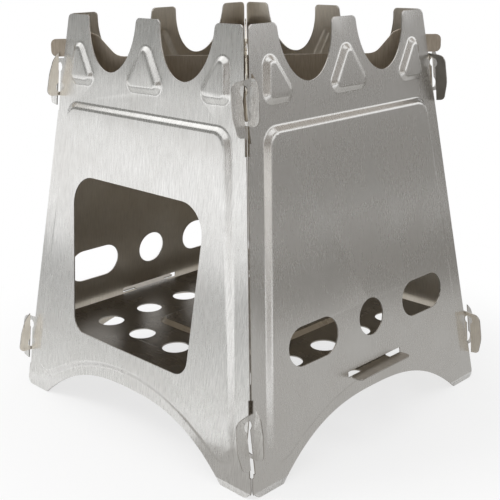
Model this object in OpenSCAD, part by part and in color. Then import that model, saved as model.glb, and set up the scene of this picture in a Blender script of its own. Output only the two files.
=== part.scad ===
// Folding pocket stove for twigs: four pressed sheet walls that hook together at the corners,
// a perforated floor plate held by its tabs, and two crossbars that halve over each other as a pot rest.
// Millimetres, +Z up, the origin on the ground in the middle. The front wall faces -Y.

/* [Stove] */
// Height from the ground to the tips of the crown
stove_h = 165; // [155:1:175]
// Width over the walls at the ground
base_w = 145; // [142:0.5:150]
// Width over the walls at the tips of the crown
crown_w = 104.5; // [102:0.5:108]
// Thickness of the wall sheet
sheet_t = 0.5; // [0.4:0.05:0.5]
// How far each wall stops short of the outer corner
corner_gap = 1.3; // [1.3:0.05:1.5]

/* [Crown] */
// Distance from the middle of a wall to the middle of a valley
valley_u = 22; // [20:0.5:23]
// Width of a valley between the tips
valley_w = 30; // [24:0.5:30]
// Depth of a valley below the tips
valley_d = 22; // [15:0.5:23]
// Corner radius of the tips
prong_r = 2; // [1:0.25:2.5]

/* [Arch and feet] */
// Width of the arch between the feet
arch_w = 112; // [90:1:114]
// Height of the arch
arch_h = 19.5; // [10:0.5:20]
// Corner radius of the feet
foot_r = 3; // [1:0.5:4]

/* [Pressings] */
// Height of the pressed field and bosses above the sheet
press_h = 1.8; // [1.2:0.1:1.8]
// Width of the sloping bevel round a pressing
bevel_w = 3.5; // [3.4:0.1:3.6]
// Radius of the bends, at the middle of the sheet
bend_r = 1.9; // [1:0.1:1.9]
// Plain margin between a pressing and the edge of its wall
margin_w = 6; // [5.5:0.25:7]
// Depth of the top of the field below the tips
field_drop = 35; // [34:0.5:45]
// Plain band between the top of the arch and the field
arch_band = 4.7; // [4:0.1:5]
// Radius of the field over the arch
field_arch_r = 90; // [80:1:100]
// Corner radius of the field
field_r = 8; // [6:0.5:9]
// Depth of the base of the bosses below the tips
boss_drop = 28.7; // [27:0.1:30]
// Corner radius of the bosses
boss_r = 4.5; // [4:0.1:5]

/* [Window] */
// Height of the top of the fuel window
window_top = 100.3; // [80:0.5:110]
// Height of the bottom of the fuel window
window_low = 34.6; // [32:0.5:40]
// Width of the fuel window at its top
window_top_w = 80.8; // [60:0.2:84]
// Width of the fuel window at its bottom
window_low_w = 70.4; // [50:0.2:76]
// Radius of the upper corners of the window
window_top_r = 12; // [6:0.5:16]
// Radius of the lower corners of the window
window_low_r = 7; // [4:0.5:12]

/* [Air holes] */
// Diameter of the round air hole and width of the long ones
air_d = 15; // [10:0.5:16]
// Height of the air holes
air_z = 48.2; // [44:0.2:52]
// Distance from the middle of a wall to the near end of a long air hole
air_near = 20.6; // [16:0.2:24]
// Distance from the middle of a wall to the far end of a long air hole
air_far = 48.4; // [44:0.2:50]

/* [Floor plate] */
// Thickness of the floor plate
plate_t = 0.5; // [0.4:0.05:0.6]
// Height of the underside of the floor plate
plate_z = 28.4; // [28.3:0.1:30]
// Gap between the floor plate and the walls
plate_gap = 0.95; // [0.85:0.05:1.5]
// Diameter of the holes in the floor plate
hole_d = 11.5; // [8:0.5:13]
// Distance between the holes in the floor plate
hole_pitch = 22; // [18:0.5:22.5]
// Height of the pressed middle of the floor plate
tray_h = 1.4; // [1:0.1:1.6]
// Half width of the pressed middle of the floor plate
tray_half = 30.5; // [28:0.5:33]
// Width of the neck of a tab
neck_w = 18.6; // [14:0.2:22]
// Width of the head of a tab
tab_w = 32.6; // [28:0.2:33]
// How far a tab stands out of its slot
tab_out = 5.6; // [4:0.1:6]
// Width of the slot for a tab
slot_w = 33.6; // [33.4:0.2:36]
// Height of the slot for a tab
slot_h = 2.4; // [2:0.1:3.2]

/* [Crossbars] */
// Thickness of the crossbars
bar_t = 0.6; // [0.4:0.05:0.7]
// Depth of the top edge of the crossbars, which carry the pot, below the tips
bar_drop = 18; // [18:0.1:18.5]
// Depth of the crossbars
bar_d = 16; // [12:0.5:20]
// How far the posts at the ends rise above the top edge
post_h = 10; // [9:0.5:12]
// Height of the ears that stick out at the corners
ear_h = 7.3; // [5:0.1:8]
// How far the ears reach past the corner of the walls
ear_out = 4.4; // [4:0.1:6]
// Room in the halving slots beside each crossbar
halving_gap = 0.15; // [0.1:0.05:0.3]

/* [Hooks] */
// Height of the base of the lower hooks
hook_low = 15.5; // [14:0.5:18]
// Depth of the base of the upper hooks below the tips
hook_drop = 34; // [34:0.1:34.5]
// How far the hooks reach past the edge of the wall
hook_reach = 7.5; // [6.5:0.1:8]
// Height of the root of a hook
root_h = 1.5; // [1.2:0.1:2]
// Height of the open slot in a hook
hook_open = 14; // [13:0.1:14.2]
// Room for the other wall's sheet in a slot
hook_gap = 0.5; // [0.4:0.05:0.5]
// How far a wall is lifted until its hooks are free
unhook = 5.7; // [5:0.1:5.7]

/* [Hidden] */

// Heights that go with the crown
field_top = stove_h - field_drop;
boss_base = stove_h - boss_drop;
bar_top = stove_h - bar_drop;
hook_high = stove_h - hook_drop;
// Lean of the walls
tilt = atan((base_w - crown_w) / 2 / stove_h);
// Thickness of the sheet along a level line
sheet_level = sheet_t / cos(tilt);
// Overrun of the cuts, and lap of the pressed parts in the flat sheet
over = 4;
lap = 0.5;
// Room under an ear and under a tab
seat_gap = 0.3;
// Bowing of the arch and slope of the field beside it
arch_power = 2.6;
field_slope = 28;
// Facets of bores, steps of corners, curves and bends, and how far a chord may stray from its arc
bore_fn = 64;
corner_steps = 8;
curve_steps = 28;
bend_steps = 2;
chord_slack = 0.06;

// Bosses: half width of the middle one, inner foot of the side ones, and how far the corners of their
// unrounded outlines rise over the base
mid_boss_half = 14.7;
mid_boss_rise = 23.1;
side_boss_foot = 27.6;
side_boss_rise = 26.5;
// Pressed middle of the plate: corner radius, bevel and bends; corners of the plate and of its tabs
tray_r = 7;
tray_bevel = 3;
tray_bend = 1.2;
plate_r = 3;
tab_r = 1.6;
neck_r = 2.4;
// Rounding of the crossbars
bar_r = 2;
ear_r = 2.2;
post_r = 6;
post_foot = 54;
post_in = 62.5;
// Holes at the ends of the hook slots, room beside the legs in them, and how far the cut runs under a leg
up_hole_r = 2.2;
down_hole_r = 2;
up_room = 0.2;
down_room = 0.85;
under = 2;
// Outline of the hooks: how far they run into the wall, rise over the slot, draw in, and round off
root_in = 3;
hook_head = 2;
heel_rise = 0.3;
heel_r = 2.6;
belly_in = 1.7;
shoulder_in = 3.6;
shoulder_drop = 4;
shoulder_r = 5;
side_r = 12;
toe_rise = 0.6;
toe_r = 2;
cheek_rise = 2.5;
brow_in = 0.7;
brow_drop = 1;
brow_r = 3.2;

// Outer face of the walls at a height, edge of a wall, and length up the sheet
function face(z) = base_w / 2 - z * tan(tilt);
function edge(z) = face(z) - corner_gap;
function rise(z) = z / cos(tilt);

function unit(v) = v / norm(v);
function turned(r, a) = r * [cos(a), sin(a)];
function mirrored(points) = [for (i = [len(points) - 1:-1:0]) [-points[i].x, points[i].y]];

// Rounded corner at b between a and c: centre, radius, first angle and turn
function corner(a, b, c, r) =
    let (p = unit(a - b), q = unit(c - b), half = acos(p * q) / 2)
    let (m = b + unit(p + q) * r / sin(half))
    let (from = b + p * r / tan(half) - m, to = b + q * r / tan(half) - m)
    let (a0 = atan2(from.y, from.x), a1 = atan2(to.y, to.x))
    [m, r, a0, (a1 - a0 + 540) % 360 - 180];
function corners(points, radii) =
    let (n = len(points))
    [for (i = [0:n - 1]) corner(points[(i + n - 1) % n], points[i], points[(i + 1) % n], radii[i])];
// Points of a rounded corner, moved inwards by inset
function corner_points(k, inset = 0) =
    let (r = k[3] > 0 ? k[1] - inset : k[1] + inset)
    let (steps = ceil(abs(k[3]) / acos(1 - chord_slack / k[1]) / 2))
    [for (i = [0:steps]) k[0] + turned(r, k[2] + k[3] * i / steps)];
function rounded(points, radii, inset = 0) = [for (k = corners(points, radii)) each corner_points(k, inset)];

// Bend angle of a bevel, and the path of one face of the sheet through both bends
function bend_angle(w, h, r) = asin(2 * r / norm([w, 2 * r - h])) - atan2(2 * r - h, w);
function bend_path(w, h, r, t, side) =
    let (a = bend_angle(w, h, r), n = bend_steps)
    concat(
        [for (i = [0:n]) [0, r - t / 2] + (r - side * t / 2) * [sin(a * i / n), -cos(a * i / n)]],
        [for (i = [n:-1:0]) [w, h - r - t / 2] + (r + side * t / 2) * [-sin(a * i / n), cos(a * i / n)]]
    );
function reversed(points) = [for (i = [len(points) - 1:-1:0]) points[i]];

// Pressed part of a sheet: its raised flat, the bevel round it and a narrow rim that laps the flat sheet
module pressing(points, radii, w, h, r, t) {
    section = concat(
        reversed(bend_path(w, h, r, t, 1)),
        [[-lap, 0], [-lap, -t]],
        bend_path(w, h, r, t, -1)
    );
    rings = [for (p = section) [for (q = rounded(points, radii, p.x)) [q.x, q.y, p.y]]];
    n = len(rings[0]);
    last = len(rings) - 1;
    middle = (last + 1) * n;
    polyhedron(
        points = concat([for (ring = rings) each ring], [[0, 0, h], [0, 0, h - t]]),
        faces = concat(
            [for (i = [0:n - 1]) [middle, (i + 1) % n, i]],
            [for (j = [0:last - 1], i = [0:n - 1]) [i, (i + 1) % n, (i + 1) % n + n, i + n] + j * [n, n, n, n]],
            [for (i = [0:n - 1]) [middle + 1, last * n + i, last * n + (i + 1) % n]]
        )
    );
}

// Outline of the field about its middle: straight sides, and a lower edge that follows the arch
field_low = arch_h + arch_band;
field_mid = rise(field_top) / 2;
field_peak = rise(field_low) + field_arch_r * (1 / cos(field_slope) - 1) - field_mid;
field_foot_u = edge(0) - margin_w / cos(tilt);
field_head_u = edge(field_top) - margin_w / cos(tilt);
field_foot = field_peak - field_foot_u * tan(field_slope);
field_points = [
    [-field_foot_u, field_foot],
    [0, field_peak],
    [field_foot_u, field_foot],
    [field_head_u, rise(field_top) - field_mid],
    [-field_head_u, rise(field_top) - field_mid]
];
field_radii = [field_r, field_arch_r, field_r, field_r, field_r];

// Outlines of the bosses on the three prongs, about a point inside each
boss_mid = rise(side_boss_rise) / 3;
side_boss_mid = (side_boss_foot + edge(boss_base) - margin_w / cos(tilt)) / 2;
mid_boss = [
    [-mid_boss_half, -boss_mid],
    [mid_boss_half, -boss_mid],
    [0, rise(mid_boss_rise) - boss_mid]
];
side_boss = [
    [side_boss_foot - side_boss_mid, -boss_mid],
    [side_boss_mid - side_boss_foot, -boss_mid],
    [edge(boss_base + side_boss_rise) - margin_w / cos(tilt) - side_boss_mid, rise(side_boss_rise) - boss_mid]
];
boss_radii = [boss_r, boss_r, boss_r];

// Place, outline and corner radii of each pressing
boss_z = rise(boss_base) + boss_mid;
pressings = [
    [[0, field_mid], field_points, field_radii],
    [[0, boss_z], mid_boss, boss_radii],
    [[side_boss_mid, boss_z], side_boss, boss_radii],
    [[-side_boss_mid, boss_z], mirrored(side_boss), boss_radii]
];

// Right half of the outline of a wall, from the top of the arch to the middle prong
function arch_z(u) = arch_h * (1 - pow(u / (arch_w / 2), arch_power));
valley_start = asin(prong_r / valley_d);
tip_u = valley_w / 2 * cos(valley_start);
half_outline = concat(
    [for (i = [0:curve_steps]) let (u = arch_w / 2 * i / curve_steps) [u, rise(arch_z(u))]],
    corner_points(corner([arch_w / 2, 0], [edge(0), 0], [edge(stove_h), rise(stove_h)], foot_r)),
    corner_points(corner([edge(0), 0], [edge(stove_h), rise(stove_h)], [valley_u, rise(stove_h)], prong_r)),
    [for (i = [0:corner_steps])
        [valley_u + tip_u + prong_r, rise(stove_h) - prong_r] + turned(prong_r, 90 + 90 * i / corner_steps)],
    [for (i = [1:curve_steps - 1]) let (a = valley_start + (180 - 2 * valley_start) * i / curve_steps)
        [valley_u + valley_w / 2 * cos(a), rise(stove_h) - valley_d * sin(a)]],
    [for (i = [0:corner_steps])
        [valley_u - tip_u - prong_r, rise(stove_h) - prong_r] + turned(prong_r, 90 * i / corner_steps)]
);
wall_outline = concat(half_outline, [for (p = mirrored(half_outline)) if (p.x < 0) p]);

// Both hooks are drawn on the right edge, from the point where their base meets it
hook_top = hook_open + hook_head;
up_in = corner_gap - hook_top * tan(tilt) - sheet_level - hook_gap;
up_out = corner_gap + up_room;
down_in = corner_gap - root_h * tan(tilt) - sheet_level - hook_gap;
down_out = corner_gap + down_room;

module up_hook() {
    tip = hook_open + unhook;
    slit = (up_in + up_out) / 2;
    heel = [hook_reach - heel_rise, heel_rise];
    belly = [hook_reach - belly_in, tip / 2];
    shoulder = [hook_reach - shoulder_in, tip - shoulder_drop];
    polygon(concat(
        [[-root_in, 0]],
        corner_points(corner([0, 0], heel, belly, heel_r)),
        corner_points(corner([hook_reach, 0], belly, shoulder, side_r)),
        corner_points(corner(belly, shoulder, [slit, tip], shoulder_r)),
        [[slit, tip], [slit, hook_open], [-root_in, hook_open]]
    ));
}

module up_slot() {
    translate([up_in, root_h + up_hole_r]) square([up_out - up_in, hook_open + over + over]);
    translate([(up_in + up_out) / 2 + up_hole_r / 4, root_h + up_hole_r]) circle(up_hole_r, $fn = bore_fn);
}

module down_hook() {
    tip = root_h - unhook;
    slit = (down_in + down_out) / 2;
    toe = [hook_reach - belly_in, tip + toe_rise];
    cheek = [hook_reach, root_h + cheek_rise];
    brow = [hook_reach - brow_in, hook_top - brow_drop];
    polygon(concat(
        [[-root_in, root_h], [slit, root_h], [slit, tip]],
        corner_points(corner([slit, tip], toe, cheek, toe_r)),
        corner_points(corner(toe, cheek, brow, side_r)),
        corner_points(corner(cheek, brow, [0, hook_top], brow_r)),
        [[-root_in, hook_top]]
    ));
}

module down_slot() {
    low = root_h - unhook - under;
    translate([down_in, low]) square([down_out - down_in, hook_open - down_hole_r - low]);
    translate([down_out - down_hole_r / 2, hook_open - down_hole_r]) circle(down_hole_r, $fn = bore_fn);
}

module at_hooks() {
    for (z = [hook_low, hook_high])
        translate([edge(z), rise(z)])
            children();
}

module flat_wall() {
    difference() {
        union() {
            polygon(wall_outline);
            at_hooks() up_hook();
            mirror([1, 0]) at_hooks() down_hook();
        }
        at_hooks() up_slot();
        mirror([1, 0]) at_hooks() down_slot();
        for (p = pressings) translate(p[0]) polygon(rounded(p[1], p[2], -lap / 2));
    }
}

// Wall sheet with its pressings, its outer face at zero
module wall_sheet() {
    translate([0, 0, -sheet_t]) linear_extrude(sheet_t) flat_wall();
    for (p = pressings)
        translate(p[0]) pressing(p[1], p[2], bevel_w, press_h, bend_r, sheet_t);
}

// Leans a flat wall on its place and cuts its feet level; side 0 is the front, 1 the right
module stand_wall(side) {
    rotate(90 * side)
        difference() {
            translate([0, -face(0), 0]) rotate([90 - tilt, 0, 0]) children();
            translate([-base_w, -base_w, -over]) cube([base_w * 2, base_w * 2, over]);
        }
}

module cut() {
    translate([0, 0, -over]) linear_extrude(over * 2) children();
}

module fuel_window() {
    polygon(rounded(
        [
            [-window_low_w / 2, rise(window_low)],
            [window_low_w / 2, rise(window_low)],
            [window_top_w / 2, rise(window_top)],
            [-window_top_w / 2, rise(window_top)]
        ],
        [window_low_r, window_low_r, window_top_r, window_top_r]
    ));
}

module air_holes() {
    translate([0, rise(air_z), -over]) cylinder(h = over * 2, d = air_d, $fn = bore_fn);
    for (side = [-1, 1]) {
        for (u = [air_near + air_d / 2, air_far - air_d / 2])
            translate([side * u, rise(air_z), -over]) cylinder(h = over * 2, d = air_d, $fn = bore_fn);
        translate([side * (air_near + air_far) / 2, rise(air_z), 0])
            cube([air_far - air_near - air_d, air_d, over * 2], center = true);
    }
}

module tab_slot() {
    translate([-slot_w / 2, rise(plate_z) - seat_gap]) square([slot_w, slot_h]);
}

module front_wall() {
    color([0.78, 0.78, 0.77])
        stand_wall(0) difference() {
            wall_sheet();
            cut() fuel_window();
        }
}

module vented_wall(side) {
    stand_wall(side) difference() {
        wall_sheet();
        air_holes();
        cut() tab_slot();
    }
}

module right_wall() {
    color([0.56, 0.55, 0.53]) vented_wall(1);
}

module left_wall() {
    color([0.56, 0.55, 0.53]) vented_wall(3);
}

module back_wall() {
    color([0.6, 0.59, 0.57]) stand_wall(2) wall_sheet();
}

// Floor plate: a square sheet with a pressed middle, a ring of holes and a tab on two sides
plate_half = face(plate_z + plate_t) - sheet_level - plate_gap;
tab_end = face(plate_z) + press_h / cos(tilt) + tab_out;
tab_root = tab_end - tab_out + seat_gap;

module tab() {
    polygon(concat(
        [[plate_half - plate_r, -neck_w / 2 - neck_r]],
        [for (i = [0:corner_steps])
            [plate_half + neck_r, -neck_w / 2 - neck_r] + turned(neck_r, 180 - 90 * i / corner_steps)],
        [[tab_root, -neck_w / 2]],
        corner_points(corner([tab_root, 0], [tab_root, -tab_w / 2], [tab_end, -tab_w / 2], tab_r)),
        corner_points(corner([tab_root, -tab_w / 2], [tab_end, -tab_w / 2], [tab_end, 0], tab_r)),
        corner_points(corner([tab_end, 0], [tab_end, tab_w / 2], [tab_root, tab_w / 2], tab_r)),
        corner_points(corner([tab_end, tab_w / 2], [tab_root, tab_w / 2], [tab_root, 0], tab_r)),
        [[tab_root, neck_w / 2]],
        [for (i = [0:corner_steps])
            [plate_half + neck_r, neck_w / 2 + neck_r] + turned(neck_r, 270 - 90 * i / corner_steps)],
        [[plate_half - plate_r, neck_w / 2 + neck_r]]
    ));
}

module ring_of_holes() {
    for (x = [-2:2])
        for (y = [-2:2])
            if (max(abs(x), abs(y)) == 2)
                translate([x * hole_pitch, y * hole_pitch]) circle(hole_d / 2, $fn = bore_fn);
}

module floor_plate() {
    square_points = [[-1, -1], [1, -1], [1, 1], [-1, 1]];
    tray = square_points * tray_half;
    tray_radii = [tray_r, tray_r, tray_r, tray_r];
    color([0.62, 0.6, 0.57])
        translate([0, 0, plate_z + plate_t]) {
            translate([0, 0, -plate_t]) linear_extrude(plate_t) difference() {
                union() {
                    polygon(rounded(square_points * plate_half, [plate_r, plate_r, plate_r, plate_r]));
                    tab();
                    mirror([1, 0]) tab();
                }
                ring_of_holes();
                polygon(rounded(tray, tray_radii, -lap / 2));
            }
            pressing(tray, tray_radii, tray_bevel, tray_h, tray_bend, plate_t);
        }
}

// Outline of a crossbar along the diagonal, its right half from the middle of the lower edge
bar_low = bar_top - bar_d;
bar_end = (2 * face(bar_top + seat_gap) - corner_gap - sheet_level) / sqrt(2) - hook_gap;
ear_end = face(bar_top) * sqrt(2) + ear_out;
ear_low = bar_top + seat_gap;
ear_top = ear_low + ear_h;
post_top = bar_top + post_h;
post_out = bar_end - bar_r;
bar_half = concat(
    corner_points(corner([0, bar_low], [bar_end, bar_low], [bar_end, bar_top], bar_r)),
    [[bar_end, ear_low]],
    corner_points(corner([bar_end, ear_low], [ear_end, ear_low], [ear_end, ear_top], ear_r)),
    corner_points(corner([ear_end, ear_low], [ear_end, ear_top], [bar_end, ear_top], ear_r)),
    [[post_out + bar_r / 2, ear_top]],
    corner_points(corner([post_out, ear_top], [post_out, post_top], [post_in, post_top], bar_r / 2)),
    corner_points(corner([post_out, post_top], [post_in, post_top], [post_foot, bar_top], post_r)),
    corner_points(corner([post_in, post_top], [post_foot, bar_top], [0, bar_top], post_r))
);

module crossbar(angle, cut_top) {
    slot_half = bar_t / 2 + halving_gap;
    middle = (bar_low + bar_top) / 2;
    rotate(angle) translate([0, bar_t / 2, 0]) rotate([90, 0, 0]) linear_extrude(bar_t) difference() {
        polygon(concat(bar_half, mirrored(bar_half)));
        if (cut_top)
            translate([-slot_half, middle - halving_gap]) square([slot_half * 2, bar_d]);
        else
            translate([-slot_half, middle + halving_gap - bar_d]) square([slot_half * 2, bar_d]);
    }
}

module crossbar_lower() {
    color([0.5, 0.46, 0.42]) crossbar(-45, true);
}

module crossbar_upper() {
    color([0.5, 0.46, 0.42]) crossbar(45, false);
}

front_wall();
right_wall();
back_wall();
left_wall();
floor_plate();
crossbar_lower();
crossbar_upper();
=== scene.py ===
from math import atan2, cos, radians, sin

import bmesh
import bpy
from bpy.props import FloatProperty, FloatVectorProperty, PointerProperty
from mathutils import Matrix, Quaternion, Vector


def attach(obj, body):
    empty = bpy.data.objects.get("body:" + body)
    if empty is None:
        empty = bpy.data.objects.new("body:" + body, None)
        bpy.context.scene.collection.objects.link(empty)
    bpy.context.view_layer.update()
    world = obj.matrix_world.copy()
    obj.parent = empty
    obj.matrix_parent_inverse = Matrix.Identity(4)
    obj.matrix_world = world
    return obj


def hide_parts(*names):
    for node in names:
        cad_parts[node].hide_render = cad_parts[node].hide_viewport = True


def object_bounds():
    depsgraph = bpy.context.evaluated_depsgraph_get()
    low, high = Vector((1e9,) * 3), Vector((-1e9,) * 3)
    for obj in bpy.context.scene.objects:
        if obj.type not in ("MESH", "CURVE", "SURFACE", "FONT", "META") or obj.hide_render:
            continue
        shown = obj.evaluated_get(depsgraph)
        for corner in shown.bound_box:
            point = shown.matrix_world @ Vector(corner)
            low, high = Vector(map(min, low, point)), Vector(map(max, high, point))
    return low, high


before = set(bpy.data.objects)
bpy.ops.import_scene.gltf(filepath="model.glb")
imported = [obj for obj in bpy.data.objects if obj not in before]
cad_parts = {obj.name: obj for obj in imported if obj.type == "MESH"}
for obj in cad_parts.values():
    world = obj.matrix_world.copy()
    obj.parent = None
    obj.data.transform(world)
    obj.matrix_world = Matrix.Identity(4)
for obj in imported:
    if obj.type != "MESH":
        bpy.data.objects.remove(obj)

bl_info = {
    "name": "Folding pocket stove",
    "version": (1, 0, 0),
    "blender": (4, 5, 0),
    "location": "3D View > Sidebar > Stove",
    "description": "Gives a folding sheet steel stove its brushed finish and a plain studio",
    "category": "Object",
}

CAD_BOX = [list(corner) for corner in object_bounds()]
TOP = CAD_BOX[1][2]

# Wall, named as its body: the direction it faces, the way to its closed seam, and its steel
WALLS = {
    "front_wall": ((0, -1, 0), (1, 0, 0), "front_steel"),
    "right_wall": ((1, 0, 0), (0, -1, 0), "side_steel"),
    "back_wall": ((0, 1, 0), (-1, 0, 0), "front_steel"),
    "left_wall": ((-1, 0, 0), (0, 1, 0), "side_steel"),
}
# Crossbar, named as its body: the turn of its length from the X axis, in degrees
CROSSBARS = {"crossbar_lower": 45, "crossbar_upper": -45}

# Seams: the heights between which a wall's edge reaches nearer to the corner, and how far
HOOK_SEAM = (0.036, 0.1205)     # between the lower and the upper hooks
FOOT_SEAM = (0.0018, 0.0080)    # under the lower hooks
FOOT_SEAM_WALLS = ("front_wall", "right_wall")
SEAM_REACH = 0.0007
ON_CUT = 0.00001                # a corner this near to a cut lies on it
ON_EDGE = 0.0003                # and a face this near to the wall's edge is part of it

# Order of the materials on a piece
OUTSIDE, INSIDE, EDGE = range(3)
# The back wall's upper hooks, whose inside carries a painted dark reflection
DARK_HOOK = 3                        # on the back wall
# The plate's tabs, and its bent faces, which carry a painted highlight
TAB, BEND_HIGHLIGHT = 3, 4                # on the floor plate
# Least cosine of a face that looks outwards, sideways or straight up
OUTWARDS, SIDEWAYS, UPWARDS = 0.45, 0.9, 0.97

HOOK_START = 0.0015             # how far past the corner the back wall's hooks begin
UPPER_HOOKS = 0.1               # height above which a hook is an upper one
TAB_START = 0.069               # distance from the middle at which the plate's tabs begin

# Brushed steel: its patterns, and what they do to colour and gloss
THROUGH = 12                    # repeats of the brush lines a metre, through the sheet
CLOUDS = 34                     # repeats of the clouds a metre
LINE_TONES = (0.30, 0.70)       # noise at which a line is darkest and brightest
CLOUD_NOISE = (0.35, 0.75)      # noise at which a cloud begins and is fullest
CLOUD_HAZE = 0.16               # the most that clouds dull a clean sheet
HAZE_TINT = (0.62, 0.57, 0.50)
LINE_NOISE = (0.25, 0.75)       # noise at which a line is glossiest and dullest
LINE_GLOSS = (-0.01, 0.03)      # and what that adds to the roughness
HAZE_ROUGHNESS = 0.35
BUMP_STRENGTH = 1.2             # times the contrast of the lines
LINE_CONTRAST = {"front_steel": 0.15, "side_steel": 0.04}

# Floor: distances at which its fade to white starts and ends, and its share of white before that
SEEN_FADE = (0.10, 0.19, 0.74)
MIRRORED_FADE = (0.15, 0.65, 0.0)
WORLD_LIGHT = 0.62              # strength of the white world as light

# Camera: turn, height and roll, distance from the middle in metres, and shift of the frame
CAMERA_TURN, CAMERA_LIFT, CAMERA_ROLL = radians(44.983), radians(14.861), radians(-0.758)
CAMERA_DISTANCE = 0.419
CAMERA_SHIFT = (0.00385, -0.09305)


class StoveFinish(bpy.types.PropertyGroup):
    """Colours and grain of the sheet steel"""

    outer_colour: FloatVectorProperty(
        name="Outer steel", description="Colour of the outside of the walls",
        subtype="COLOR", size=3, min=0, max=1, default=(0.86, 0.855, 0.84))
    inner_colour: FloatVectorProperty(
        name="Inner steel", description="Colour of the inside of the walls, browned by heat",
        subtype="COLOR", size=3, min=0, max=1, default=(0.90, 0.85, 0.765))
    edge_colour: FloatVectorProperty(
        name="Cut edge", description="Colour of the punched edges of the sheet",
        subtype="COLOR", size=3, min=0, max=1, default=(0.55, 0.53, 0.50))
    plate_colour: FloatVectorProperty(
        name="Floor plate", description="Colour of the floor plate",
        subtype="COLOR", size=3, min=0, max=1, default=(0.18, 0.165, 0.145))
    bar_colour: FloatVectorProperty(
        name="Crossbars", description="Colour of the crossbars",
        subtype="COLOR", size=3, min=0, max=1, default=(0.98, 0.85, 0.70))
    grain_width: FloatProperty(
        name="Grain width", description="Width of the brush lines",
        unit="LENGTH", min=0.0001, max=0.002, default=0.00035)
    grain_length: FloatProperty(
        name="Grain length", description="Length of the brush lines",
        unit="LENGTH", min=0.001, max=0.1, default=0.005)
    grain_depth: FloatProperty(
        name="Grain depth", description="Depth of the brush lines in the bump",
        unit="LENGTH", min=0, max=0.0005, default=0.00001)
    smooth_angle: FloatProperty(
        name="Smooth angle", description="Edges flatter than this are shaded smooth",
        subtype="ANGLE", min=0, max=3.14, default=radians(32))


class StoveStage(bpy.types.PropertyGroup):
    """Floor, lights and camera"""

    floor_width: FloatProperty(
        name="Floor width", description="Width of the pale floor",
        unit="LENGTH", min=1, max=20, default=6)
    floor_colour: FloatVectorProperty(
        name="Floor colour", description="Colour of the floor",
        subtype="COLOR", size=3, min=0, max=1, default=(0.86, 0.86, 0.86))
    key_power: FloatProperty(
        name="Key light", description="Power of the large light on the left",
        unit="POWER", min=0, max=100, default=5)
    top_power: FloatProperty(
        name="Top light", description="Power of the soft light overhead",
        unit="POWER", min=0, max=100, default=2)
    screen_colour: FloatVectorProperty(
        name="Right card", description="Colour of the grey card on the right, at its lower edge",
        subtype="COLOR", size=3, min=0, max=1, default=(0.22, 0.21, 0.195))
    lens: FloatProperty(
        name="Focal length", description="Focal length of the camera, in millimetres",
        min=20, max=200, default=69.14)


def tint(colour, factor):
    return [factor * c for c in colour]


def empty_tree(owner):
    """The node tree of a material or world, with nothing in it"""
    owner.use_nodes = True
    owner.node_tree.nodes.clear()
    return owner.node_tree


def add_node(tree, kind, place, values=None, **settings):
    """A node with its settings, and with values on its inputs"""
    node = tree.nodes.new(kind)
    node.location = place
    for key, value in settings.items():
        setattr(node, key, value)
    for key, value in (values or {}).items():
        node.inputs[key].default_value = value
    return node


def map_range(tree, place, value, start, end, low, high, **settings):
    node = add_node(tree, "ShaderNodeMapRange", place,
                    {"From Min": start, "From Max": end, "To Min": low, "To Max": high}, **settings)
    tree.links.new(value, node.inputs["Value"])
    return node.outputs["Result"]


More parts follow.
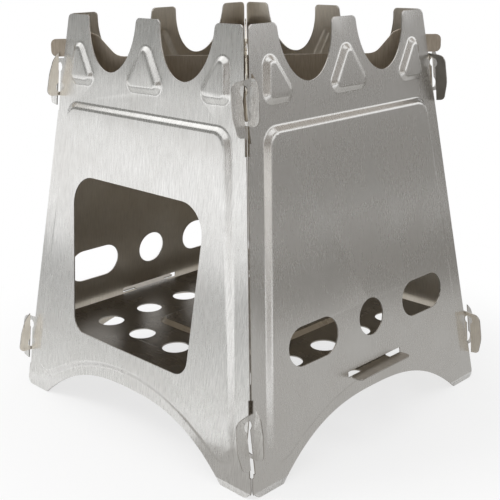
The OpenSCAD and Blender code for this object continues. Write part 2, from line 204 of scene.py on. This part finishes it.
def steel(name, colour, way, lay, roughness, anisotropy, contrast, grime=0.0):
    """Brushed sheet steel, with a pattern whose X axis points along way

    Its brush lines run upright (UP), over a flat sheet and across way (FLAT), or over an
    upright strip and along way (LEVEL).
    """
    finish = bpy.context.scene.stove_finish
    material = bpy.data.materials.new(name)
    material.diffuse_color = (*colour, 1)
    tree = empty_tree(material)
    link = tree.links.new
    output = add_node(tree, "ShaderNodeOutputMaterial", (900, 0))
    shader = add_node(tree, "ShaderNodeBsdfPrincipled", (600, 0),
                      {"Metallic": 1, "Anisotropic": anisotropy})
    link(shader.outputs["BSDF"], output.inputs["Surface"])
    place = add_node(tree, "ShaderNodeTexCoord", (-1600, 0))

    # Brush lines: a noise that is fine across them and drawn out along them
    fine = 1 / finish.grain_width
    drawn = 1 / finish.grain_length
    scales = {
        "UP": (fine, THROUGH, drawn),
        "FLAT": (fine, drawn, THROUGH),
        "LEVEL": (drawn, THROUGH, fine),
    }
    turned = add_node(tree, "ShaderNodeMapping", (-1400, 200),
                      {"Rotation": (0, 0, -atan2(way[1], way[0]))})
    lines = add_node(tree, "ShaderNodeMapping", (-1200, 200), {"Scale": scales[lay]})
    grain = add_node(tree, "ShaderNodeTexNoise", (-1000, 200),
                     {"Scale": 1, "Detail": 3, "Roughness": 0.65})
    link(place.outputs["Object"], turned.inputs["Vector"])
    link(turned.outputs["Vector"], lines.inputs["Vector"])
    link(lines.outputs["Vector"], grain.inputs["Vector"])

    # Broad clouds left by handling and by the rolling of the sheet
    cloud = add_node(tree, "ShaderNodeTexNoise", (-1000, -150),
                     {"Scale": CLOUDS, "Detail": 4, "Roughness": 0.6})
    link(place.outputs["Object"], cloud.inputs["Vector"])

    # Colour: darker in the lines and under the clouds
    tone = add_node(tree, "ShaderNodeValToRGB", (-700, 250))
    dark, bright = tone.color_ramp.elements
    dark.position, bright.position = LINE_TONES
    dark.color = (*tint(colour, 1 - contrast), 1)
    bright.color = (*[min(1, c) for c in tint(colour, 1 + contrast)], 1)
    link(grain.outputs["Fac"], tone.inputs["Fac"])
    haze = map_range(tree, (-700, -50), cloud.outputs["Fac"], *CLOUD_NOISE, 0.0, CLOUD_HAZE + grime)
    dulled = [c * k for c, k in zip(colour, HAZE_TINT)]
    dull = add_node(tree, "ShaderNodeMix", (-350, 200), {"B": (*dulled, 1)}, data_type="RGBA")
    link(haze, dull.inputs["Factor"])
    link(tone.outputs["Color"], dull.inputs["A"])
    link(dull.outputs["Result"], shader.inputs["Base Color"])

    # Roughness: glossier in the lines, duller under the clouds
    rough = map_range(tree, (-700, -350), grain.outputs["Fac"], *LINE_NOISE,
                      *[roughness + step for step in LINE_GLOSS])
    worn = add_node(tree, "ShaderNodeMath", (-350, -350), {1: HAZE_ROUGHNESS},
                    operation="MULTIPLY_ADD")
    link(haze, worn.inputs[0])
    link(rough, worn.inputs[2])
    link(worn.outputs["Value"], shader.inputs["Roughness"])

    # Bump of the brush lines
    bump = add_node(tree, "ShaderNodeBump", (250, -500),
                    {"Strength": BUMP_STRENGTH * contrast, "Distance": finish.grain_depth})
    link(grain.outputs["Fac"], bump.inputs["Height"])
    link(bump.outputs["Normal"], shader.inputs["Normal"])

    # The gloss spreads over the brush lines: its tangent lies level on a wall
    if lay == "UP":
        shape = add_node(tree, "ShaderNodeNewGeometry", (-350, -750))
        level = add_node(tree, "ShaderNodeVectorMath", (0, -750), {0: (0, 0, 1)},
                         operation="CROSS_PRODUCT")
        link(shape.outputs["Normal"], level.inputs[1])
        link(level.outputs["Vector"], shader.inputs["Tangent"])
    return material


def cut_edge(name, colour):
    """Punched edge of the sheet: bright, with the short upright lines of the tool"""
    return steel(name, colour, (1, 0, 0), "UP", roughness=0.34, anisotropy=0.0, contrast=0.16)


def copy_of(node):
    """A copy of a CAD node's mesh as an object of its own, with its triangles joined"""
    bpy.ops.object.select_all(action="DESELECT")
    piece = bpy.data.objects.new(node + "_sheet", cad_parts[node].data.copy())
    bpy.context.scene.collection.objects.link(piece)
    bpy.context.view_layer.objects.active = piece
    piece.select_set(True)
    bpy.ops.object.mode_set(mode="EDIT")
    bpy.ops.mesh.select_all(action="SELECT")
    bpy.ops.mesh.remove_doubles(threshold=0.000001)
    bpy.ops.object.mode_set(mode="OBJECT")
    return piece


def close_seam(piece, seam, low, high):
    """Lets a wall reach nearer to its corner between two heights, where the walls all but touch"""
    way = Vector(seam)
    bpy.ops.object.mode_set(mode="EDIT")
    for height in (low, high):
        bpy.ops.mesh.select_all(action="SELECT")
        bpy.ops.mesh.bisect(plane_co=(0, 0, height), plane_no=(0, 0, 1))
    bpy.ops.mesh.select_all(action="DESELECT")
    bpy.ops.mesh.select_mode(type="FACE")
    shell = bmesh.from_edit_mesh(piece.data)
    lower, upper = [max(vert.co.dot(way) for vert in shell.verts if abs(vert.co.z - height) < ON_CUT)
                    for height in (low, high)]
    for face in shell.faces:
        middle = face.calc_center_median()
        edge = upper + (lower - upper) * (high - middle.z) / (high - low)
        on_edge = face.normal.dot(way) > SIDEWAYS and abs(middle.dot(way) - edge) < ON_EDGE
        if low < middle.z < high and on_edge:
            face.select_set(True)
    if not any(face.select for face in shell.faces):
        raise RuntimeError("no side face was found on " + piece.name)
    bmesh.update_edit_mesh(piece.data)
    bpy.ops.mesh.extrude_region_move(TRANSFORM_OT_translate={"value": way * SEAM_REACH})
    bpy.ops.object.mode_set(mode="OBJECT")


def smooth(piece):
    """Shades the bends smooth and keeps the flats flat"""
    finish = bpy.context.scene.stove_finish
    bpy.ops.object.shade_smooth_by_angle(angle=finish.smooth_angle)
    bpy.ops.object.modifier_add(type="WEIGHTED_NORMAL")
    flats = piece.modifiers[-1]
    flats.mode = "FACE_AREA"
    flats.weight = 60
    flats.keep_sharp = True
    bpy.ops.object.modifier_apply(modifier=flats.name)


def paint(piece, facing, *materials):
    """Gives the faces their steel by the way they look: outwards, inwards or sideways"""
    piece.data.materials.clear()
    for material in materials:
        piece.data.materials.append(material)
    way = Vector(facing)
    for face in piece.data.polygons:
        look = face.normal.dot(way)
        face.material_index = OUTSIDE if look > OUTWARDS else INSIDE if look < -OUTWARDS else EDGE


def stand_in(piece, node):
    """The piece moves with the body that has its node's name, and stands for that node"""
    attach(piece, node)
    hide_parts(node)


class STOVE_OT_walls(bpy.types.Operator):
    """Dresses the four pressed walls in brushed steel"""

    bl_idname = "stove.walls"
    bl_label = "Dress the walls"

    def execute(self, context):
        finish = context.scene.stove_finish
        edge = cut_edge("cut_edge", finish.edge_colour)
        # Painted dark reflection: the inside of the back wall's upper hooks is painted far darker than
        # the rest of the inside
        dark_hook_reflection = steel("hook_dark_reflection", tint(finish.inner_colour, 0.22), (1, 0, 0), "UP",
                      roughness=0.34, anisotropy=0.3, contrast=0.1, grime=0.3)
        for node, (facing, seam, slot) in WALLS.items():
            way = (facing[1], facing[0], 0)
            outer = steel(node + "_outside", finish.outer_colour, way, "UP",
                          roughness=0.24, anisotropy=0.6, contrast=LINE_CONTRAST[slot])
            inner = steel(node + "_inside", finish.inner_colour, way, "UP",
                          roughness=0.34, anisotropy=0.3, contrast=0.1, grime=0.3)
            piece = copy_of(node)
            close_seam(piece, seam, *HOOK_SEAM)
            if node in FOOT_SEAM_WALLS:
                close_seam(piece, seam, *FOOT_SEAM)
            smooth(piece)
            paint(piece, facing, outer, inner, edge)
            # The back wall's upper hooks get the painted dark reflection
            if node == "back_wall":
                piece.data.materials.append(dark_hook_reflection)
                for face in piece.data.polygons:
                    on_hook = abs(face.center.x) > face.center.y + HOOK_START
                    if face.material_index == INSIDE and on_hook and face.center.z > UPPER_HOOKS:
                        face.material_index = DARK_HOOK
            stand_in(piece, node)
        return {"FINISHED"}


class STOVE_OT_floor_plate(bpy.types.Operator):
    """Dresses the perforated floor plate"""

    bl_idname = "stove.floor_plate"
    bl_label = "Dress the floor plate"

    def execute(self, context):
        finish = context.scene.stove_finish
        colour = finish.plate_colour
        way = (0, 1, 0)
        edge = cut_edge("plate_edge", finish.edge_colour)
        top = steel("plate_top", colour, way, "FLAT",
                    roughness=0.22, anisotropy=0.0, contrast=0.15, grime=0.2)
        under = steel("plate_under", colour, way, "FLAT",
                      roughness=0.34, anisotropy=0.0, contrast=0.15, grime=0.2)
        tab = steel("plate_tab", tint(colour, 1.9), way, "FLAT",
                    roughness=0.34, anisotropy=0.0, contrast=0.15, grime=0.1)
        # Painted highlight: the sloping faces of the pressed square are painted lighter, as the line
        # of light along its bend
        bend_highlight = steel("plate_bend_highlight", tint(colour, 2.6), way, "FLAT",
                     roughness=0.26, anisotropy=0.0, contrast=0.1, grime=0.1)
        piece = copy_of("floor_plate")
        smooth(piece)
        paint(piece, (0, 0, 1), top, under, edge, tab, bend_highlight)
        for face in piece.data.polygons:
            if face.material_index != OUTSIDE:
                continue
            if max(abs(face.center.x), abs(face.center.y)) > TAB_START:
                face.material_index = TAB
            # A face that slopes away from straight up gets the painted highlight
            elif face.normal.z < UPWARDS:
                face.material_index = BEND_HIGHLIGHT
        stand_in(piece, "floor_plate")
        return {"FINISHED"}


class STOVE_OT_crossbars(bpy.types.Operator):
    """Dresses the two crossbars that carry the pot"""

    bl_idname = "stove.crossbars"
    bl_label = "Dress the crossbars"

    def execute(self, context):
        finish = context.scene.stove_finish
        # Painted shade: the bars' cut edges are painted dark, as the shade in the corner seams where
        # their ends show
        edge = cut_edge("bar_edge_painted_shade", tint(finish.bar_colour, 0.4))
        for node, turn in CROSSBARS.items():
            along = (cos(radians(turn)), sin(radians(turn)), 0)
            side = steel(node + "_side", finish.bar_colour, along, "LEVEL",
                         roughness=0.32, anisotropy=0.0, contrast=0.30, grime=0.2)
            piece = copy_of(node)
            smooth(piece)
            paint(piece, (-along[1], along[0], 0), side, side, edge)
            stand_in(piece, node)
        return {"FINISHED"}


def rays(tree, place, *kinds):
    """Factor that is 1 for these kinds of ray, such as the camera's or those that steel mirrors"""
    path = add_node(tree, "ShaderNodeLightPath", place)
    found = path.outputs[kinds[0]]
    for i, kind in enumerate(kinds[1:]):
        either = add_node(tree, "ShaderNodeMath", (place[0] + 200 * (i + 1), place[1]),
                          operation="MAXIMUM")
        tree.links.new(found, either.inputs[0])
        tree.links.new(path.outputs[kind], either.inputs[1])
        found = either.outputs["Value"]
    return found


def fade_out(tree, place, distance, near, far, least, factor):
    """Grows with the distance from the middle, and counts only as far as the factor does"""
    fade = map_range(tree, place, distance, near, far, least, 1.0, interpolation_type="SMOOTHSTEP")
    both = add_node(tree, "ShaderNodeMath", (place[0] + 200, place[1]), operation="MULTIPLY")
    tree.links.new(fade, both.inputs[0])
    tree.links.new(factor, both.inputs[1])
    return both.outputs["Value"]


def floor_material(colour):
    """Pale floor: near white, keeps the soft shadow, and fades to white far out"""
    material = bpy.data.materials.new("pale_floor")
    tree = empty_tree(material)
    link = tree.links.new
    output = add_node(tree, "ShaderNodeOutputMaterial", (800, 0))
    matte = add_node(tree, "ShaderNodeBsdfDiffuse", (0, 0), {"Color": (*colour, 1)})
    white = add_node(tree, "ShaderNodeEmission", (0, -150), {"Strength": 1})
    place = add_node(tree, "ShaderNodeTexCoord", (-900, 300))
    far = add_node(tree, "ShaderNodeVectorMath", (-700, 300), operation="LENGTH")
    link(place.outputs["Object"], far.inputs[0])
    camera = rays(tree, (-900, 700), "Is Camera Ray")
    mirror = rays(tree, (-900, 500), "Is Glossy Ray", "Is Transmission Ray")
    seen = fade_out(tree, (-400, 600), far.outputs["Value"], *SEEN_FADE, camera)
    mirrored = fade_out(tree, (-400, 300), far.outputs["Value"], *MIRRORED_FADE, mirror)
    share = add_node(tree, "ShaderNodeMath", (100, 300), operation="MAXIMUM")
    link(seen, share.inputs[0])
    link(mirrored, share.inputs[1])
    mix = add_node(tree, "ShaderNodeMixShader", (500, 0))
    link(share.outputs["Value"], mix.inputs["Fac"])
    link(matte.outputs["BSDF"], mix.inputs[1])
    link(white.outputs["Emission"], mix.inputs[2])
    link(mix.outputs["Shader"], output.inputs["Surface"])
    return material


def white_world(scene):
    """White where the camera or the steel sees it, and less as light"""
    scene.world = bpy.data.worlds.new("white_studio")
    tree = empty_tree(scene.world)
    link = tree.links.new
    output = add_node(tree, "ShaderNodeOutputWorld", (600, 0))
    light = add_node(tree, "ShaderNodeBackground", (0, 100),
                     {"Color": (1, 1, 1, 1), "Strength": WORLD_LIGHT})
    white = add_node(tree, "ShaderNodeBackground", (0, -100), {"Color": (1, 1, 1, 1), "Strength": 1})
    mix = add_node(tree, "ShaderNodeMixShader", (300, 0))
    direct = rays(tree, (-600, 300), "Is Camera Ray", "Is Glossy Ray", "Is Transmission Ray")
    link(direct, mix.inputs["Fac"])
    link(light.outputs["Background"], mix.inputs[1])
    link(white.outputs["Background"], mix.inputs[2])
    link(mix.outputs["Shader"], output.inputs["Surface"])


def soft_light(name, place, aim, width, power):
    """A square light that the steel doesn't mirror"""
    bpy.ops.object.light_add(type="AREA", location=place)
    lamp = bpy.context.object
    lamp.name = name
    lamp.rotation_mode = "QUATERNION"
    lamp.rotation_quaternion = (Vector(place) - Vector(aim)).to_track_quat("Z", "Y")
    lamp.data.shape = "RECTANGLE"
    lamp.data.size = width
    lamp.data.size_y = width
    lamp.data.energy = power
    lamp.visible_camera = False
    lamp.visible_glossy = False


def card(name, place, aim, width, height, low, high=None, turn=0):
    """An evenly lit card that only the steel mirrors, in the colours of its lower and upper edge"""
    bpy.ops.mesh.primitive_plane_add(size=1, location=(0, 0, 0))
    screen = bpy.context.object
    screen.name = name
    screen.scale = (width, height, 1)
    bpy.ops.object.transform_apply(location=False, rotation=False, scale=True)
    screen.location = place
    screen.rotation_mode = "QUATERNION"
    facing = (Vector(aim) - Vector(place)).to_track_quat("Z", "Y")
    screen.rotation_quaternion = facing @ Quaternion((0, 0, 1), radians(turn))
    screen.visible_camera = False
    screen.visible_shadow = False
    screen.visible_diffuse = False
    material = bpy.data.materials.new(name)
    tree = empty_tree(material)
    link = tree.links.new
    output = add_node(tree, "ShaderNodeOutputMaterial", (600, 0))
    glow = add_node(tree, "ShaderNodeEmission", (400, 0))
    place_in = add_node(tree, "ShaderNodeTexCoord", (-600, 0))
    split = add_node(tree, "ShaderNodeSeparateXYZ", (-400, 0))
    link(place_in.outputs["Object"], split.inputs["Vector"])
    share = map_range(tree, (-200, 0), split.outputs["Y"], -height / 2, height / 2, 0, 1)
    tones = add_node(tree, "ShaderNodeMix", (100, 0),
                     {"A": (*low, 1), "B": (*(high or low), 1)}, data_type="RGBA")
    link(share, tones.inputs["Factor"])
    link(tones.outputs["Result"], glow.inputs["Color"])
    link(glow.outputs["Emission"], output.inputs["Surface"])
    screen.data.materials.append(material)


class STOVE_OT_stage(bpy.types.Operator):
    """Makes the pale floor, the lights and the camera"""

    bl_idname = "stove.stage"
    bl_label = "Make the stage"

    def execute(self, context):
        settings = context.scene.stove_stage
        bpy.ops.object.select_all(action="DESELECT")
        bpy.ops.mesh.primitive_plane_add(size=settings.floor_width, location=(0, 0, 0))
        floor = context.object
        floor.name = "floor"
        floor.data.materials.append(floor_material(settings.floor_colour))
        white_world(context.scene)
        soft_light("key_light", (-0.55, -0.60, 0.95), (0, 0, 0.08), 0.5, settings.key_power)
        soft_light("top_light", (0.1, -0.1, 1.1), (0, 0, 0), 0.8, settings.top_power)

        # What the steel mirrors besides the white world: each card's place, the point it faces,
        # its width and height, its colours at the lower and the upper edge, and its turn
        cards = (
            ("left_card", (-0.72, -0.76, 0.62), (0, 0, 0.62), 1.5, 0.90,
             (0.31, 0.31, 0.30), (0.17, 0.17, 0.16)),
            ("right_card", (0.56, 0.54, 0.14), (0, 0, 0.14), 1.4, 0.28,
             settings.screen_colour, (0.38, 0.37, 0.36)),
            ("left_floor_card", (-0.21, -0.21, 0.002), (-0.21, -0.21, 1), 0.7, 0.36,
             (0.24, 0.24, 0.235), (0.77, 0.77, 0.76), 150),
            ("low_card", (0.335, 0.335, 0.002), (0.335, 0.335, 1), 0.9, 0.40,
             (0.22, 0.21, 0.195), None, -45),
            ("near_card", (0.085, 0.085, 0.0022), (0.085, 0.085, 1), 0.5, 0.34,
             (0.46, 0.45, 0.435), (0.44, 0.43, 0.415), -45),
            ("front_card", (0.957, -0.339, 0.78), (0, 0, 0.78), 0.96, 1.08,
             (0.25, 0.225, 0.20), (0.36, 0.34, 0.32)),
            ("strip_card", (0.957, -0.339, 0.145), (0, 0, 0.145), 0.96, 0.19,
             (0.16, 0.15, 0.14), (1.25, 1.22, 1.18)),
            ("arc_card", (0.73, 0.295, 0.80), (0.06, 0, 0.13), 0.42, 0.34, (0.28, 0.255, 0.23)),
            ("bevel_card", (-0.72, -0.17, 0.86), (0, -0.06, 0.13), 0.50, 0.34, (1.35, 1.35, 1.34)),
            ("band_card", (-0.71, -0.75, 0.155), (0, 0, 0.155), 1.5, 0.065,
             (0.96, 0.96, 0.95), (0.33, 0.33, 0.32)),
            ("camera_card", (0.334, -0.919, 0.53), (0, 0, 0.53), 0.5, 0.68, (0.20, 0.18, 0.16)),
            ("corner_card", (0.56, -0.40, 0.035), (0, 0, 0.035), 0.35, 0.07, (0.18, 0.155, 0.13)),
            ("back_card", (0.18, 0.85, 0.95), (0, 0, 0.1), 0.9, 0.6, (0.34, 0.305, 0.27)),
        )
        for values in cards:
            card(*values)

        # The camera looks at the corner between the front and the right wall
        back = Vector((sin(CAMERA_TURN) * cos(CAMERA_LIFT), -cos(CAMERA_TURN) * cos(CAMERA_LIFT),
                       sin(CAMERA_LIFT)))
        right = Vector((cos(CAMERA_TURN), sin(CAMERA_TURN), 0))
        up = back.cross(right)
        level = right * cos(CAMERA_ROLL) + up * sin(CAMERA_ROLL)
        upright = up * cos(CAMERA_ROLL) - right * sin(CAMERA_ROLL)
        bpy.ops.object.camera_add()
        camera = context.object
        camera.name = "camera"
        spot = Matrix.Translation(Vector((0, 0, TOP / 2)) + back * CAMERA_DISTANCE)
        camera.matrix_world = spot @ Matrix((level, upright, back)).transposed().to_4x4()
        camera.data.lens = settings.lens
        camera.data.sensor_width = 36
        camera.data.shift_x, camera.data.shift_y = CAMERA_SHIFT
        context.scene.camera = camera
        context.scene.view_settings.view_transform = "Standard"
        return {"FINISHED"}


class STOVE_PT_panel(bpy.types.Panel):
    bl_idname = "STOVE_PT_panel"
    bl_label = "Folding pocket stove"
    bl_space_type = "VIEW_3D"
    bl_region_type = "UI"
    bl_category = "Stove"

    def draw(self, context):
        layout = self.layout
        finish = context.scene.stove_finish
        for name in ("outer_colour", "inner_colour", "edge_colour", "plate_colour", "bar_colour",
                     "grain_width", "grain_length", "grain_depth", "smooth_angle"):
            layout.prop(finish, name)
        layout.operator("stove.walls")
        layout.operator("stove.floor_plate")
        layout.operator("stove.crossbars")
        stage = context.scene.stove_stage
        for name in ("floor_width", "floor_colour", "key_power", "top_power", "screen_colour", "lens"):
            layout.prop(stage, name)
        layout.operator("stove.stage")


CLASSES = (StoveFinish, StoveStage, STOVE_OT_walls, STOVE_OT_floor_plate, STOVE_OT_crossbars,
           STOVE_OT_stage, STOVE_PT_panel)


def register():
    for kind in CLASSES:
        bpy.utils.register_class(kind)
    bpy.types.Scene.stove_finish = PointerProperty(type=StoveFinish)
    bpy.types.Scene.stove_stage = PointerProperty(type=StoveStage)


def unregister():
    del bpy.types.Scene.stove_stage
    del bpy.types.Scene.stove_finish
    for kind in reversed(CLASSES):
        bpy.utils.unregister_class(kind)


def main():
    register()
    bpy.ops.stove.walls()
    bpy.ops.stove.floor_plate()
    bpy.ops.stove.crossbars()
    bpy.ops.stove.stage()


if __name__ == "__main__":
    main()
